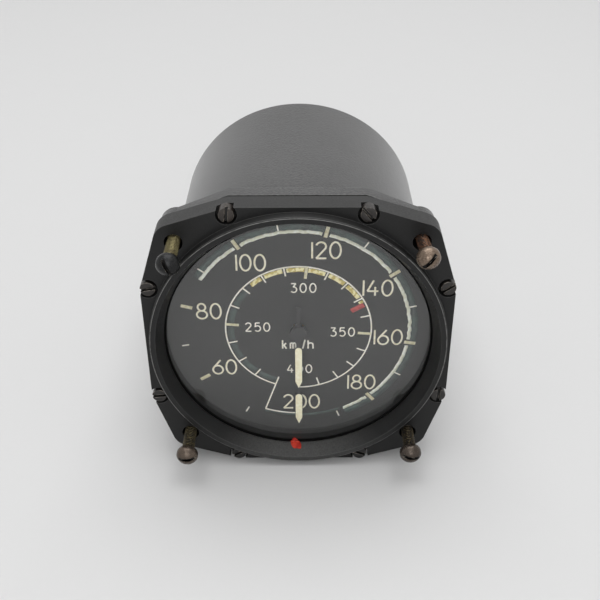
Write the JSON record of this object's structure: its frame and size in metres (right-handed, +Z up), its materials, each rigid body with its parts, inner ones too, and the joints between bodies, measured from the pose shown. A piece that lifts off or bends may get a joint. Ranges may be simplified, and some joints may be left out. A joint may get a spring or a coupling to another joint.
{
  "type": "airspeed indicator",
  "caption": "Round panel airspeed gauge with a square flange, a long closed case, hose ports at the rear and a geared pointer driven by a pressure capsule.",
  "frame": {"origin": "on the pointer's axis, in the plane of the frame's front face, which lies against the rear of the panel", "axes": "+X to the right and +Z up as the dial is read, +Y from the dial to the rear"},
  "size_m": [0.0824, 0.1102, 0.0824],
  "materials": {
    "case_grey": "matte grey enamel on a light-alloy casting",
    "frame_black": "satin black, worn at the edges",
    "rubber": "matte",
    "glass": "clear, polished",
    "inner_black": "matte black",
    "dial": "matte charcoal with printed marks",
    "dark_steel": "blackened, partly worn bare",
    "screw_bronze": "tarnished",
    "port_metal": "turned",
    "fibre": "red fibre",
    "copper": "drawn",
    "plate_aluminium": "milled",
    "steel": "turned",
    "brass": "brushed",
    "bronze_sheet": "pressed sheet",
    "blued_steel": "blued",
    "pointer_black": "matte black",
    "lume": "cream luminous paint"
  },
  "bodies": {
    "housing": {"case": "case_grey", "front_frame": "frame_black", "flange_gasket": "rubber", "glass_seal": "rubber", "cover_glass": "glass", "spacer_ring": "inner_black", "dial_plate": "dial", "edge_screws": "dark_steel", "mounting_screws": "screw_bronze", "pitot_port": "port_metal", "static_port": "port_metal", "port_washers": "fibre", "port_nuts": "port_metal", "pressure_pipe": "copper", "base_plate": "plate_aluminium", "base_screws": "steel", "capsule_stem": "brass", "stem_nut": "brass", "rear_diaphragm": "bronze_sheet", "front_diaphragm": "bronze_sheet", "long_pillars": "steel", "pillar_screws": "steel", "rear_plate": "brass", "short_pillars": "steel", "front_plate": "brass", "front_plate_screws": "steel", "bearing_bushes": "bronze_sheet", "left_bracket": "brass", "right_bracket": "brass", "bracket_screws": "steel", "hairspring": "blued_steel", "hairspring_stud": "brass"},
    "pointer_shaft": {"pointer_staff": "steel", "pointer": "pointer_black", "pointer_lume": "lume"},
    "wheel_shaft": {"wheel_arbor": "steel", "intermediate_wheel": "brass", "hairspring_collet": "brass"},
    "sector_shaft": {"sector_arbor": "steel", "sector_gear": "brass", "sector_lever": "steel"},
    "rocker": {"rocking_shaft": "steel", "crank_arm": "brass", "driver_arm": "steel", "counterweight": "brass"},
    "capsule_push": {"capsule_stud": "brass"}
  },
  "joints": [
    {"name": "pointer_turn", "type": "hinge", "parent": "housing", "child": "pointer_shaft", "pos_m": [0, 0.02, 0], "axis": [0, 1, 0], "range_deg": [0, 720], "stiffness_Nm_per_rad": 0.00001},
    {"name": "wheel_turn", "type": "hinge", "parent": "housing", "child": "wheel_shaft", "pos_m": [-0.01353, 0.02, 0.00493], "axis": [0, 1, 0], "range_deg": [-144, 0], "deforming": ["hairspring"]},
    {"name": "sector_turn", "type": "hinge", "parent": "housing", "child": "sector_shaft", "pos_m": [-0.01353, 0.02, -0.01187], "axis": [0, 1, 0], "range_deg": [0, 24]},
    {"name": "rocker_turn", "type": "hinge", "parent": "housing", "child": "rocker", "pos_m": [0, 0.0467, -0.01052], "axis": [1, 0, 0], "range_deg": [0, 11.5]},
    {"name": "capsule_slide", "type": "slide", "parent": "housing", "child": "capsule_push", "axis": [0, -1, 0], "range_m": [0, 0.00211], "deforming": ["front_diaphragm"]}
  ],
  "couplings": [
    {"joint": "wheel_turn", "follows": "pointer_turn", "ratio": -0.2},
    {"joint": "sector_turn", "follows": "pointer_turn", "ratio": 0.033333},
    {"joint": "rocker_turn", "follows": "pointer_turn", "ratio": 0.015972},
    {"joint": "capsule_slide", "follows": "pointer_turn", "m_per_rad": 0.00016782}
  ]
}
